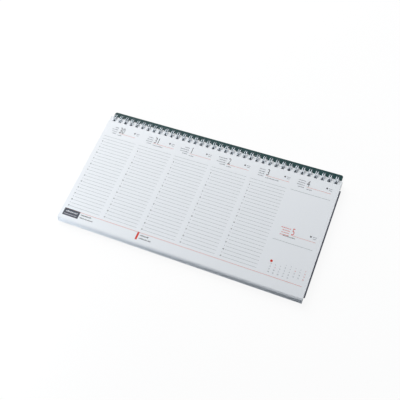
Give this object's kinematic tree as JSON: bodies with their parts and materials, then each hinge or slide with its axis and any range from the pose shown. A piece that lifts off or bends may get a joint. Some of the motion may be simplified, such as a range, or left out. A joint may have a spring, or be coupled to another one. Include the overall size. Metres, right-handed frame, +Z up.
{
  "type": "desk calendar",
  "caption": "Landscape weekly desk planner: a pad of ruled sheets bound along its long rear edge by a twin-loop wire, on a stiff board.",
  "frame": {"origin": "centre of the planner's outline, on the plane that it lies on", "axes": "+X along the wire, to the reader's right; +Y from the reader towards the wire; +Z up from the table"},
  "size_m": [0.3216, 0.173, 0.0118],
  "materials": {
    "grey_board": "matte",
    "green_cover": "satin",
    "white_paper": "matte",
    "grey_wire": "satin"
  },
  "bodies": {
    "base": {"back_board": "grey_board", "cover_sheet": "green_cover", "wire_binding": "grey_wire"},
    "pages": {"page_block": "white_paper"}
  },
  "joints": [
    {"name": "page_turn", "type": "hinge", "parent": "base", "child": "pages", "pos_m": [0, 0.07505, 0.00592], "axis": [-1, 0, 0], "range_deg": [0, 180]}
  ]
}
